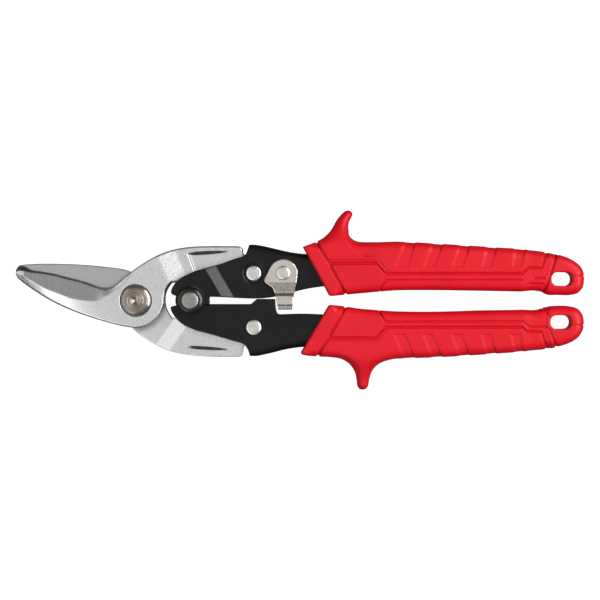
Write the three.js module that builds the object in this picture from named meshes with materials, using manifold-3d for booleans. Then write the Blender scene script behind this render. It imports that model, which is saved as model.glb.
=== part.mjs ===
// Aviation snips: compound-action sheet-metal snips, lying flat on a bench.
// Millimetres. Working frame: origin on the jaw pivot, +X towards the grips,
// jaws towards -X, +Y towards the upper handle, +Z out of the front face.
// The exported group is shifted so the origin is the middle of the underside.
import * as THREE from 'three';
import * as BufferGeometryUtils from 'three/addons/utils/BufferGeometryUtils.js';
import Module from 'manifold-3d';

const wasm = await Module();
wasm.setup();

// ---------------------------------------------------------------- dimensions
const OVERALL_LENGTH = 253.8;          // nose of the jaws to the grip ends
const TIP_X = -53.8;                   // foremost point of the jaws
const BASE_Z = -9.5;                   // underside of the grips and of the nut
const MID_Y = 0.2;                     // middle of the overall height

const JAW_PIVOT = [0, 0];
const HANDLE_PIVOT = [24.2, 0];
const UPPER_TANG_PIVOT = [52.5, 12.05];
const LOWER_TANG_PIVOT = [52.5, -12.05];
const LATCH_PIVOT = [65.6, 12.15];

const BLADE_T = 4.8;                   // blade thickness at the jaw pivot
const SHEAR_GAP = 0.05;                // each blade stands this far off the shear plane
const TANG_HALF = 2.6;                 // half thickness of the tangs, on the mid plane
const RAMP_DIR = [0.944, 0.331];       // direction of the forged step, boss to tang
const RAMP_TOP = [15.8, 25.4];         // outer face steps down between these
const RAMP_BOTTOM = [13.5, 19.5];      // shear face steps down between these
const BOSS_HOLE_R = 4.25;
const BOLT_RECESS_R = 7.45;
const BOLT_RECESS_Z = 3.2;
const TANG_HOLE_R = 2.75;              // close running hole, upper tang
const TANG_FREE_HOLE_R = 3.2;          // freer hole, lower tang

const CHANNEL_IN = 2.9;                // inner half width of the handle channels
const SHEET_T = 2.2;                   // handle sheet thickness
const CHANNEL_OUT = CHANNEL_IN + SHEET_T;
const EAR_LIFT = SHEET_T + 0.15;       // outward joggle of the outer ears
const EAR_DIR = [0.862, 0.506];        // direction of the ear joggle
const EAR_RAMP = [12.7, 17.8];
const EAR_R = 6.5;
const KNUCKLE_R = 6.2;

const GRIP_HALF = 9.5;                 // half thickness of the grips
const HORN_HALF = 5.2;                 // half thickness of the finger guards
const SPRING_WIRE = 1.7;
const SPRING_MEAN_R = 5.25;
const SPRING_PITCH = 1.85;

// ------------------------------------------------------------------- helpers
function solid(geometry) {
  let g = geometry.clone();
  for (const name of Object.keys(g.attributes)) if (name !== 'position') g.deleteAttribute(name);
  g = BufferGeometryUtils.mergeVertices(g, 1e-5);
  const idx = g.index.array, tri = [];
  for (let i = 0; i < idx.length; i += 3) {
    if (idx[i] !== idx[i + 1] && idx[i + 1] !== idx[i + 2] && idx[i] !== idx[i + 2]) tri.push(idx[i], idx[i + 1], idx[i + 2]);
  }
  const m = new wasm.Manifold(new wasm.Mesh({
    numProp: 3,
    vertProperties: new Float32Array(g.attributes.position.array),
    triVerts: new Uint32Array(tri),
  }));
  return m;
}

function geometryOf(man) {
  const mesh = man.getMesh();
  const g = new THREE.BufferGeometry();
  const v = mesh.vertProperties, n = mesh.numProp, p = new Float32Array(v.length / n * 3);
  for (let i = 0; i < v.length / n; i++) { p[3 * i] = v[n * i]; p[3 * i + 1] = v[n * i + 1]; p[3 * i + 2] = v[n * i + 2]; }
  g.setAttribute('position', new THREE.BufferAttribute(p, 3));
  g.setIndex(Array.from(mesh.triVerts));
  return g;
}

function shapeOf(points, holes = []) {
  const s = new THREE.Shape(points.map(([x, y]) => new THREE.Vector2(x, y)));
  for (const h of holes) s.holes.push(new THREE.Path(h.map(([x, y]) => new THREE.Vector2(x, y))));
  return s;
}

// straight prism from z0 to z1
function prism(points, z0, z1, holes = []) {
  const g = new THREE.ExtrudeGeometry(shapeOf(points, holes), { depth: z1 - z0, bevelEnabled: false, steps: 1 });
  g.translate(0, 0, z0);
  return solid(g);
}

// prism with chamfered rims, symmetric about z = 0, inside the outline
function pillow(points, half, bevel, thick, segments = 2) {
  const g = new THREE.ExtrudeGeometry(shapeOf(points), {
    depth: 2 * (half - thick), steps: 1, bevelEnabled: true, bevelThickness: thick,
    bevelSize: bevel, bevelOffset: -bevel, bevelSegments: segments,
  });
  g.translate(0, 0, -(half - thick));
  return solid(g);
}

function circle([cx, cy], r, n = 32, from = 0, to = 360) {
  const out = [];
  const full = Math.abs(to - from) >= 360;
  const m = full ? n : n + 1;
  for (let i = 0; i < m; i++) {
    const a = (from + (to - from) * i / n) * Math.PI / 180;
    out.push([cx + r * Math.cos(a), cy + r * Math.sin(a)]);
  }
  return out;
}

const disc = (c, r, z0, z1, n = 32) => prism(circle(c, r, n), z0, z1);

// turned piece about the Z axis through [cx, cy]; profile is [radius, z] pairs
function turned([cx, cy], profile, n = 32) {
  const g = new THREE.LatheGeometry(profile.map(([r, z]) => new THREE.Vector2(r, z)), n);
  g.rotateX(Math.PI / 2);
  g.translate(cx, cy, 0);
  return facingOut(g);
}

// flips the winding if the body encloses negative volume
function facingOut(geometry) {
  let g = geometry.clone();
  for (const name of Object.keys(g.attributes)) if (name !== 'position') g.deleteAttribute(name);
  g = BufferGeometryUtils.mergeVertices(g, 1e-5);
  const p = g.attributes.position, idx = Array.from(g.index.array);
  let vol = 0;
  const a = new THREE.Vector3(), b = new THREE.Vector3(), c = new THREE.Vector3();
  for (let i = 0; i < idx.length; i += 3) {
    a.fromBufferAttribute(p, idx[i]); b.fromBufferAttribute(p, idx[i + 1]); c.fromBufferAttribute(p, idx[i + 2]);
    vol += a.dot(b.cross(c));
  }
  if (vol < 0) for (let i = 0; i < idx.length; i += 3) { const t = idx[i + 1]; idx[i + 1] = idx[i + 2]; idx[i + 2] = t; }
  g.setIndex(idx);
  return solid(g);
}

// cuts every triangle along the vertical plane dir . p = s, leaving one closed skin
function splitAlong(geometry, dir, origin, s) {
  const g = geometry.index ? geometry.toNonIndexed() : geometry;
  const p = g.attributes.position.array, out = [];
  const side = (x, y) => (x - origin[0]) * dir[0] + (y - origin[1]) * dir[1] - s;
  const mix = (u, v) => {
    const swap = u[0] > v[0] || (u[0] === v[0] && (u[1] > v[1] || (u[1] === v[1] && u[2] > v[2])));
    const [a, b] = swap ? [v, u] : [u, v];
    const da = side(a[0], a[1]), db = side(b[0], b[1]), t = da / (da - db);
    return [a[0] + t * (b[0] - a[0]), a[1] + t * (b[1] - a[1]), a[2] + t * (b[2] - a[2])];
  };
  for (let i = 0; i < p.length; i += 9) {
    const v = [[p[i], p[i + 1], p[i + 2]], [p[i + 3], p[i + 4], p[i + 5]], [p[i + 6], p[i + 7], p[i + 8]]];
    const d = v.map(q => { const k = side(q[0], q[1]); return Math.abs(k) < 1e-5 ? 0 : k; });
    for (const sign of [1, -1]) {
      const poly = [];
      for (let k = 0; k < 3; k++) {
        const a = v[k], b = v[(k + 1) % 3], da = d[k] * sign, db = d[(k + 1) % 3] * sign;
        if (da >= 0) poly.push(a);
        if ((da > 0 && db < 0) || (da < 0 && db > 0)) poly.push(mix(a, b));
      }
      if (poly.length < 3 || (sign < 0 && d.every(k => k === 0))) continue;
      if (d.every(k => k * sign <= 0) && !d.every(k => k === 0)) continue;
      for (let k = 1; k + 1 < poly.length; k++) out.push(...poly[0], ...poly[k], ...poly[k + 1]);
    }
  }
  const r = new THREE.BufferGeometry();
  r.setAttribute('position', new THREE.BufferAttribute(new Float32Array(out), 3));
  return r;
}

function warped(man, dir, origin, cuts, place) {
  let g = geometryOf(man).toNonIndexed();
  for (const s of cuts) g = splitAlong(g, dir, origin, s);
  const p = g.attributes.position;
  for (let i = 0; i < p.count; i++) {
    const x = p.getX(i), y = p.getY(i), z = p.getZ(i);
    p.setZ(i, place((x - origin[0]) * dir[0] + (y - origin[1]) * dir[1], z));
  }
  return solid(g);
}

const ease = (s, a, b) => Math.min(1, Math.max(0, (s - a) / (b - a)));

// the same solid turned half a turn about the X axis (y -> -y, z -> -z)
function turnedOver(man) {
  const g = geometryOf(man);
  g.rotateX(Math.PI);
  return solid(g);
}

function at(table, x) {
  if (x <= table[0][0]) return table[0][1];
  for (let i = 1; i < table.length; i++) {
    if (x <= table[i][0]) {
      const [x0, y0] = table[i - 1], [x1, y1] = table[i];
      return y0 + (y1 - y0) * (x - x0) / (x1 - x0);
    }
  }
  return table[table.length - 1][1];
}

// closed skin through equal-count sections, ends capped by fans
function loft(sections) {
  const n = sections[0].length, pos = [], tri = [];
  for (const s of sections) for (const q of s) pos.push(...q);
  for (let i = 0; i + 1 < sections.length; i++) {
    for (let k = 0; k < n; k++) {
      const a = i * n + k, b = i * n + (k + 1) % n, c = a + n, d = b + n;
      tri.push(a, c, b, b, c, d);
    }
  }
  const last = (sections.length - 1) * n;
  for (let k = 1; k + 1 < n; k++) { tri.push(0, k, k + 1); tri.push(last, last + k + 1, last + k); }
  const g = new THREE.BufferGeometry();
  g.setAttribute('position', new THREE.BufferAttribute(new Float32Array(pos), 3));
  g.setIndex(tri);
  return facingOut(g);
}

// -------------------------------------------------------------------- blades
const JAW_X = [-53.8, -53.4, -52.4, -50.2, -46.8, -42.1, -37.2, -31.3, -26, -21.7, -18.3, -15.4, -13.1, -10.4, -7.6, -4.8, -2.3, -1.6];

// lower jaw (front blade): cutting edge, foot of the edge facet, ridge, spine
const EDGE_Y = [[-53.8, 13.0], [-53.4, 14.1], [-52.4, 15.2], [-50.2, 15.3], [-46.8, 13.75], [-42.1, 12.95], [-37.2, 12.1], [-31.3, 10.6], [-24.5, 8.9], [-19.9, 7.4], [-16.7, 6.3], [-14.5, 5.8], [-12.2, 6.0], [-10, 7.05], [-7.6, 8.85], [-4.6, 11.25], [-1.6, 13.2]];
const FACET_Y = [[-53.8, 12.7], [-53.1, 13.0], [-46.8, 12.5], [-37.2, 11.2], [-31.3, 9.6], [-24.5, 8.0], [-19.9, 6.4], [-15.4, 5.1], [-13.1, 4.8], [-10.4, 5.8], [-7.6, 7.8], [-4.8, 10.2], [-1.6, 12.9]];
const RIDGE_Y = [[-53.8, 12.3], [-53.2, 12.3], [-47.5, 9.2], [-41.3, 5.8], [-33.6, 2.8], [-29, 1.1], [-21.7, -0.1], [-18.3, -0.3], [-13.1, 1.9], [-9.4, 4.2], [-4.9, 7.8], [-2.3, 11.2], [-1.6, 12.4]];
const SPINE_Y = [[-53.8, 11.7], [-53.4, 10.5], [-52.2, 9.3], [-48.4, 6.4], [-43.3, 3.0], [-38.6, 0.2], [-33, -2.6], [-27, -5.1], [-20.5, -7.4], [-12.9, -9.7], [-7.3, -11.2], [-1.6, -12.45]];
const FACET_Z = [[-53.8, 0.5], [-50, 0.9], [-20, 1.3], [-13, 1.7], [-7, 2.9], [-1.6, 4.7]];
const RIDGE_Z = [[-53.8, 1.0], [-50, 2.0], [-42, 3.3], [-30, 4.2], [-20, 4.7], [-14, 4.8], [0, 4.8]];
const SPINE_Z = [[-53.8, 0.6], [-50, 1.1], [-42, 2.2], [-30, 3.2], [-20, 4.0], [-8, 4.8], [0, 4.8]];

function jaw(edge, facet, ridge, spine, sign) {
  const sections = JAW_X.map(x => [
    [x, at(edge, x), sign * SHEAR_GAP],
    [x, at(facet, x), sign * at(FACET_Z, x)],
    [x, at(ridge, x), sign * at(RIDGE_Z, x)],
    [x, at(spine, x), sign * at(SPINE_Z, x)],
    [x, at(spine, x), sign * SHEAR_GAP],
  ]);
  // at the root the edge side stands up to the full thickness
  for (const s of sections) {
    const x = s[0][0];
    if (x > -2) { s[0][1] = at(edge, x); }
  }
  return loft(sections);
}

// boss and tang outline of the front blade, upper tang
const ARC_ABOUT_HANDLE = circle(HANDLE_PIVOT, 11.2, 10, 136, 187);
const LOBE = circle(UPPER_TANG_PIVOT, 6.9, 14, -104, 112);
const FRONT_TANG = [
  [-2.2, 12.85], [2.5, 16.0], [7.2, 18.85], [12.1, 21.15], [17.9, 22.95], [23.7, 23.75], [34, 24.25], [44.5, 24.2], [46, 24.1], [47.1, 23.55], [47.6, 22.7], [47.7, 21.5], [48.4, 20],
  ...LOBE.slice().reverse(),
  [46.2, 6.4], [37.3, 8.3], [30, 9.3],
  ...ARC_ABOUT_HANDLE,
  ...circle(JAW_PIVOT, 12.25, 12, -20, -95),
  [-2.2, -12.3],
];
// the lower tang of the rear blade is a touch deeper
const REAR_TANG = [
  [-2.2, 13.3], [-1.8, 12.6], [2.7, 16.2], [5.85, 18.15], [12.5, 21.6], [16.6, 23], [21.5, 24], [28.6, 24.8], [44.2, 25.1], [47.4, 24.6], [47.7, 23.3], [47.8, 21.5], [48.4, 20],
  ...LOBE.slice().reverse(),
  [46.2, 6.4], [37.3, 8.3], [30, 9.3],
  ...ARC_ABOUT_HANDLE,
  ...circle(JAW_PIVOT, 12.25, 12, -20, -95),
  [-2.2, -12.8],
].filter((q, i) => !(i === 0));

function tangBody(outline, holeR) {
  const flat = prism(outline, 0, 1, [circle(UPPER_TANG_PIVOT, holeR, 28)]);
  const top = s => BLADE_T + (TANG_HALF - BLADE_T) * ease(s, ...RAMP_TOP);
  const bottom = s => SHEAR_GAP + (-TANG_HALF - SHEAR_GAP) * ease(s, ...RAMP_BOTTOM);
  return warped(flat, RAMP_DIR, JAW_PIVOT, [...RAMP_BOTTOM, ...RAMP_TOP], (s, z) => (z > 0.5 ? top(s) : bottom(s)));
}

// shallow pressed panel with a deeper groove along its outer side
const PANEL = [[27.2, 21.4], [44.6, 21.8], [45.4, 17.6], [30.5, 12.6], [27.2, 12.0]];
const GROOVE = [[24.2, 21.5], [41.2, 22.5], [41.6, 21.9], [24.8, 19.9], [23.6, 20.6]];

let frontBlade = jaw(EDGE_Y, FACET_Y, RIDGE_Y, SPINE_Y, 1).add(tangBody(FRONT_TANG, TANG_HOLE_R));
frontBlade = frontBlade
  .subtract(disc(JAW_PIVOT, BOSS_HOLE_R, -1, 6, 36))
  .subtract(disc(JAW_PIVOT, BOLT_RECESS_R, BOLT_RECESS_Z, 6, 40))
  .subtract(prism(GROOVE, TANG_HALF - 0.7, TANG_HALF + 3));

// upper jaw (rear blade)
const R_SPINE_Y = [[-53.8, 13.6], [-53.4, 14.3], [-52.4, 15.7], [-50.2, 16.0], [-45.5, 16.3], [-32.5, 16.3], [-20.5, 15.7], [-12.9, 14.9], [-5.1, 13.75], [-1.6, 12.5]];
const R_EDGE_Y = [[-53.8, 12.9], [-50, 12.1], [-45.5, 11.2], [-37, 9.6], [-31, 8.1], [-24.5, 6.4], [-19.9, 5.0], [-15.4, 3.0], [-13.1, 0.6], [-10.4, -5.6], [-7.6, -9.2], [-4.8, -11.1], [-1.6, -12.0]];
const R_FACET_Y = R_EDGE_Y.map(([x, y]) => [x, y + (x < -50 ? 0.4 : 0.9)]);
const R_RIDGE_Y = [[-53.8, 13.5], [-50, 14.0], [-45.5, 14.1], [-37, 13.4], [-31, 12.4], [-24.5, 10.9], [-19.9, 9.2], [-15.4, 6.4], [-13.1, 3.4], [-10.4, -3.6], [-7.6, -7.8], [-4.8, -9.9], [-1.6, -10.9]];
let rearBlade = jaw(R_EDGE_Y, R_FACET_Y, R_RIDGE_Y, R_SPINE_Y, -1)
  .add(turnedOver(tangBody(REAR_TANG, TANG_FREE_HOLE_R)));
rearBlade = rearBlade
  .subtract(disc(JAW_PIVOT, BOSS_HOLE_R + 0.05, -6, 1, 36))
  .subtract(turnedOver(prism(GROOVE, TANG_HALF - 0.7, TANG_HALF + 3)));

// ----------------------------------------------------------- jaw pivot stack
const bolt = turned(JAW_PIVOT, [[0, -9.35], [3.6, -9.35], [4.0, -8.95], [4.0, 3.3], [7.05, 3.3], [7.05, 5.2], [6.2, 5.95], [4.6, 5.95], [4.3, 5.6], [2.9, 5.6], [2.5, 5.95], [1.5, 5.95], [0.8, 5.2], [0, 5.2]], 36);
const jawWasher = turned(JAW_PIVOT, [[4.3, -4.9], [8.6, -4.9], [8.6, -5.9], [4.3, -5.9], [4.3, -4.9]], 36);
const hex = circle(JAW_PIVOT, 7.5, 6, 30, 390);
let nut = prism(hex, BASE_Z, -6.0).subtract(disc(JAW_PIVOT, 4.25, -12, 0, 36));

// ------------------------------------------------------------ handle frames
const UPPER_SIDE = [
  [15.7, 3.5], [16.4, 2.75], [18.3, 2.1], [33.1, 1.6], [61.9, 1.65], [64.5, 2.2], [71.9, 4.2], [77.3, 5.4], [83, 6.2], [100, 7.2], [140, 7.2], [172, 6.3],
  [172, 17.6], [140, 20.6], [100, 20.6], [80, 20.5], [74.6, 20.8], [69, 21.5], [62.3, 23], [56.7, 24.3], [53.4, 24.85], [50.5, 24.9],
  [49.2, 20.8], [48.9, 20.2], [38.1, 16], [32.7, 14.5], [26.7, 12.95], [22.7, 11.3], [19.5, 9.6], [17.2, 7.4], [16.05, 5.4],
];
const LOWER_SIDE = [
  [15.4, -3.0], [17.9, -2.3], [33.1, -1.6], [51.5, -1.6], [54.1, 0.7], [62.05, 0.7], [62.4, -2.5], [62.9, -5.45], [63.8, -6.15], [74.6, -5.9], [83, -6.2], [100, -7.2], [140, -7.2], [172, -6.3],
  [172, -17.6], [140, -20.6], [100, -20.6], [80, -20.5], [74.2, -20.75], [68.4, -21.5], [58.5, -23.85], [53.4, -24.8], [50.8, -24.75],
  [50, -22.1], [48.6, -20], [42.7, -17.85], [33.6, -15.1], [26.3, -13.1], [19.9, -9.9], [17.4, -7.3], [15.9, -5],
];
const WEB = [
  [50.5, 24.9], [53.4, 24.85], [56.7, 24.3], [62.3, 23], [69, 21.5], [74.6, 20.8], [80, 20.5], [100, 20.6], [140, 20.6], [172, 17.6],
  [172, 15.4], [140, 18.4], [100, 18.4], [80, 18.3], [74.4, 18.6], [68.6, 19.3], [61.9, 20.85], [56.4, 22.1], [53.2, 22.65], [50.0, 22.7],
];

const raise = (man, dirY, sign) => warped(man, [EAR_DIR[0], EAR_DIR[1] * dirY], HANDLE_PIVOT, EAR_RAMP,
  (s, z) => z + sign * EAR_LIFT * (1 - ease(s, ...EAR_RAMP)));

function sidePlate(outline, extra, z0, z1) {
  let m = prism(outline, z0, z1);
  for (const e of extra) m = m.add(e);
  return m;
}

// upper handle: raised ear in front, straight knuckle behind
let upperFrontPlate = sidePlate(UPPER_SIDE, [
  disc(HANDLE_PIVOT, EAR_R, CHANNEL_IN, CHANNEL_OUT, 36),
  prism([[29, -1.3], [33.0, -1.2], [33.0, 1.9], [29, 1.9]], CHANNEL_IN, CHANNEL_OUT),
], CHANNEL_IN, CHANNEL_OUT);
upperFrontPlate = raise(upperFrontPlate, 1, 1);
const upperRearPlate = sidePlate(UPPER_SIDE, [disc(HANDLE_PIVOT, KNUCKLE_R, -CHANNEL_OUT, -CHANNEL_IN, 36)], -CHANNEL_OUT, -CHANNEL_IN);
let upperFrame = upperFrontPlate.add(upperRearPlate).add(prism(WEB, -CHANNEL_IN - 0.5, CHANNEL_IN + 0.5))
  .subtract(disc(HANDLE_PIVOT, 2.8, -12, 12, 28))
  .subtract(disc(UPPER_TANG_PIVOT, 2.65, -12, 12, 28))
  .subtract(disc(LATCH_PIVOT, 2.2, -12, 12, 24));

// lower handle: straight knuckle in front, raised ear behind, bridge tab over the latch catch
const lowerFrontPlate = sidePlate(LOWER_SIDE, [disc(HANDLE_PIVOT, KNUCKLE_R, CHANNEL_IN, CHANNEL_OUT, 36)], CHANNEL_IN, CHANNEL_OUT);
const lowerRearPlate = raise(sidePlate(LOWER_SIDE, [disc(HANDLE_PIVOT, EAR_R, -CHANNEL_OUT, -CHANNEL_IN, 36)], -CHANNEL_OUT, -CHANNEL_IN), -1, -1);
const BRIDGE = [[54.6, 0.7], [61.6, 0.7], [61.7, -1.5], [54.6, -1.5]];
let lowerFrame = lowerFrontPlate.add(lowerRearPlate)
  .add(prism(WEB.map(([x, y]) => [x, -y]).reverse(), -CHANNEL_IN - 0.5, CHANNEL_IN + 0.5))
  .add(prism(BRIDGE.slice().reverse(), -CHANNEL_IN - 0.5, CHANNEL_IN + 0.5))
  .subtract(disc(HANDLE_PIVOT, 2.8, -12, 12, 28))
  .subtract(disc(LOWER_TANG_PIVOT, 2.65, -12, 12, 28));

// -------------------------------------------------- handle pivot and rivets
const domed = (c, r, headR, top, base, rise, n = 28) => turned(c, [
  [0, -base - rise], [headR * 0.72, -base - rise * 0.86], [headR, -base - rise * 0.35], [headR, -base], [r, -base],
  [r, top], [headR, top], [headR, top + rise * 0.35], [headR * 0.72, top + rise * 0.86], [0, top + rise]], n);
const EAR_TOP = CHANNEL_OUT + EAR_LIFT;
const handleRivet = domed(HANDLE_PIVOT, 2.6, 3.95, EAR_TOP + 0.7, EAR_TOP + 0.7, 1.25);
const ring = (c, r0, r1, z0, z1, n = 32) => turned(c, [[r0, z0], [r1, z0], [r1, z1], [r0, z1], [r0, z0]], n);
const pivotWasherFront = ring(HANDLE_PIVOT, 2.85, 5.6, EAR_TOP + 0.08, EAR_TOP + 0.62);
const pivotWasherRear = ring(HANDLE_PIVOT, 2.85, 5.6, -EAR_TOP - 0.62, -EAR_TOP - 0.08);
const pivotSleeve = ring(HANDLE_PIVOT, 2.85, 3.9, -2.8, 2.8);
const upperTangRivet = domed(UPPER_TANG_PIVOT, 2.5, 3.55, CHANNEL_OUT + 0.08, CHANNEL_OUT + 0.08, 1.3);
const lowerTangRivet = domed(LOWER_TANG_PIVOT, 2.5, 3.55, CHANNEL_OUT + 0.08, CHANNEL_OUT + 0.08, 1.3);

// --------------------------------------------------------------- return spring
// two turns between the handle channels, one leg lying in each channel
class SpringPath extends THREE.Curve {
  getPoint(t, out = new THREE.Vector3()) {
    const [cx, cy] = HANDLE_PIVOT, r = SPRING_MEAN_R, leg = 13;
    const turns = 2, arc = 2 * Math.PI * r * turns, total = arc + 2 * leg, s = t * total;
    const z0 = -SPRING_PITCH, z1 = SPRING_PITCH;
    // upper leg at the rear end, lower leg at the front end; coil runs about the pivot
    if (s < leg) return out.set(cx + (leg - s), cy + r, z0);
    if (s > leg + arc) return out.set(cx + (s - leg - arc), cy - r, z1);
    const u = (s - leg) / arc;
    const a = Math.PI / 2 + u * (2 * Math.PI * turns - Math.PI);
    return out.set(cx + r * Math.cos(a), cy + r * Math.sin(a), z0 + (z1 - z0) * u);
  }
}
function springSolid() {
  // the coil sweeps 1.5 turns from the upper leg round to the lower leg
  const section = new THREE.Shape(circle([0, 0], SPRING_WIRE / 2, 8).map(([x, y]) => new THREE.Vector2(x, y)));
  const g = new THREE.ExtrudeGeometry(section, { extrudePath: new SpringPath(), steps: 64, bevelEnabled: false });
  return facingOut(g);
}
const springBody = springSolid();

// --------------------------------------------------------------------- latch
const LATCH_OUTLINE = [
  [65.6, 18.6], [67.7, 18.25], [69.7, 17.1], [71.4, 15.2], [72.2, 13.2], [72.15, 10.9], [71.65, 8], [70.1, 1.1], [69.8, -1.8], [69.45, -4.0],
  [63.3, -4.1], [62.95, -2.05], [62.3, 1.5], [61.1, 5.3], [59, 6.85], [57.1, 8.65], [57.8, 10.2], [59.1, 13.35], [60.3, 15.6], [61.9, 17.25], [63.7, 18.25],
];
// side profile in (y, z): head, shallow slope, small step, tongue, turned-in lip
const LATCH_FRONT = [[19.5, 7.9], [7.8, 7.9], [3.4, 7.35], [2.0, 6.9], [-2.6, 6.9], [-4.6, 4.9], [-4.6, -1.2]];
const LATCH_BACK = [[-2.9, -1.2], [-2.9, 4.4], [-2.4, 5.3], [2.2, 5.3], [3.7, 5.75], [7.9, 6.3], [19.5, 6.3]];
function latchSolid() {
  const prof = [...LATCH_FRONT, ...LATCH_BACK];
  const g = new THREE.ExtrudeGeometry(shapeOf(prof), { depth: 24, bevelEnabled: false });
  // shape x -> world y, shape y -> world z, depth -> world x
  const p = g.attributes.position;
  for (let i = 0; i < p.count; i++) { const a = p.getX(i), b = p.getY(i), c = p.getZ(i); p.setXYZ(i, 54 + c, a, b); }
  return facingOut(g).intersect(prism(LATCH_OUTLINE.slice().reverse(), -3, 12)).subtract(disc(LATCH_PIVOT, 2.25, 0, 12, 24));
}
const latchLever = latchSolid();
const latchRivet = turned(LATCH_PIVOT, [[0, -6.3], [2.3, -6.15], [3.1, -5.7], [3.1, -5.18], [2.0, -5.18], [2.0, 8.0], [3.2, 8.0], [3.2, 8.45], [2.3, 9.0], [0, 9.15]], 28);
const latchWasher = ring(LATCH_PIVOT, 2.3, 4.3, 5.2, 6.2, 28);

// --------------------------------------------------------------------- grips
const UPPER_GRIP = [
  [86.2, 2.1], [74.4, 23.8], [79.1, 25.7], [99, 26.6], [117.7, 26.2], [149, 24.4], [175.7, 22.6], [188, 20.4], [195.5, 17.3], [199.7, 12.2], [200, 6.2], [195.8, 2.6],
  [183.5, 2.5], [179, 3.7], [149, 4.35], [117, 4.5], [96, 2.8],
].reverse();
const UPPER_HORN = [
  [79.1, 25.5], [83.7, 28.1], [87.1, 31.65], [89.1, 35.2], [91, 37.9], [93.8, 40.2], [95.6, 40.2], [96.6, 38.9], [96.5, 37.9], [95.1, 35.5], [94.7, 32.1], [95.1, 30], [96.7, 27.95], [99, 26.7], [103, 25.9], [104, 20], [80, 20],
].reverse();
const LOWER_GRIP = [
  [86, -2.1], [74, -23.9], [79, -24.6], [99, -26.4], [113, -26.3], [149, -24.5], [175.7, -22.6], [188, -20.5], [195.5, -17.4], [199.7, -12.4], [199.8, -6.6], [195.8, -3.0],
  [183.5, -2.7], [179, -3.7], [149, -4.5], [117, -4.8], [96, -3.0],
];
const LOWER_HORN = [
  [86, -22], [86, -25.2], [91.2, -25.95], [93.8, -27.3], [96, -29.4], [97.4, -31.5], [98.3, -35.5], [98.55, -38.7], [99.6, -39.75], [102.2, -39.75], [103.5, -38.7], [103.9, -36], [104.5, -33.4], [105.4, -31.2], [106.7, -29.5], [109.2, -27.7], [113.3, -26.2], [114, -21],
];
const GRIP_CAVITY = [[72, 5.2], [83, 5.75], [100, 6.8], [140, 6.8], [172.6, 5.85], [172.6, 18.0], [140, 21.0], [100, 21.0], [80, 20.95], [72, 21.6]];
const HANG_UPPER = [[187.9, 12.85], [191.1, 12.85], [193.3, 12.0], [194.4, 9.55], [193.3, 7.1], [191.1, 6.25], [187.9, 6.25], [185.7, 7.1], [184.6, 9.55], [185.7, 12.0]].reverse();
const HANG_LOWER = [[187.3, -6.5], [190.5, -6.5], [192.7, -7.4], [193.8, -9.7], [192.7, -12.0], [190.5, -12.9], [187.3, -12.9], [185.1, -12.0], [184.0, -9.7], [185.1, -7.4]].reverse();

function gripSolid(body, horn, cavity, hang) {
  return pillow(body, GRIP_HALF, 3.6, 4.2, 2)
    .add(pillow(horn, HORN_HALF, 1.3, 1.6, 1))
    .subtract(prism(cavity, -CHANNEL_OUT - 0.25, CHANNEL_OUT + 0.25))
    .subtract(prism(hang, -12, 12));
}
const upperGrip = gripSolid(UPPER_GRIP, UPPER_HORN, GRIP_CAVITY, HANG_UPPER);
const lowerGrip = gripSolid(LOWER_GRIP, LOWER_HORN, GRIP_CAVITY.map(([x, y]) => [x, -y]).reverse(), HANG_LOWER);

// ------------------------------------------------------------------ assembly
const group = new THREE.Group();
group.position.set(-(TIP_X + OVERALL_LENGTH / 2), -MID_Y, -BASE_Z);

function add(name, man, color, roughness, metalness) {
  const g = geometryOf(man).toNonIndexed();
  g.computeVertexNormals();
  const mesh = new THREE.Mesh(g, new THREE.MeshStandardMaterial({ color, roughness, metalness }));
  mesh.name = name;
  group.add(mesh);
}

add('upper_handle_frame', upperFrame, 0x1b1c1e, 0.5, 0.3);
add('lower_handle_frame', lowerFrame, 0x1b1c1e, 0.5, 0.3);
add('upper_grip', upperGrip, 0xde2230, 0.6, 0.0);
add('lower_grip', lowerGrip, 0xde2230, 0.6, 0.0);
add('lower_jaw_blade', frontBlade, 0xc3c4c6, 0.38, 1.0);
add('upper_jaw_blade', rearBlade, 0xbcbdbf, 0.38, 1.0);
add('jaw_pivot_bolt', bolt, 0xcdc4ba, 0.28, 1.0);
add('jaw_pivot_washer', jawWasher, 0xb5b0a8, 0.35, 1.0);
add('jaw_pivot_nut', nut, 0xb5b0a8, 0.35, 1.0);
add('handle_pivot_rivet', handleRivet, 0xb9b4ae, 0.4, 1.0);
add('handle_pivot_washer_front', pivotWasherFront, 0x202124, 0.5, 0.4);
add('handle_pivot_washer_rear', pivotWasherRear, 0x202124, 0.5, 0.4);
add('handle_pivot_sleeve', pivotSleeve, 0x9a9a9c, 0.4, 1.0);
add('return_spring', springBody, 0xb8b8ba, 0.3, 1.0);
add('upper_tang_rivet', upperTangRivet, 0xd8d4ce, 0.35, 1.0);
add('lower_tang_rivet', lowerTangRivet, 0xd8d4ce, 0.35, 1.0);
add('latch_lever', latchLever, 0xcdc4ba, 0.36, 1.0);
add('latch_rivet', latchRivet, 0xd8d4ce, 0.35, 1.0);
add('latch_spring_washer', latchWasher, 0x9a9a9c, 0.4, 1.0);

export default group;
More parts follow.
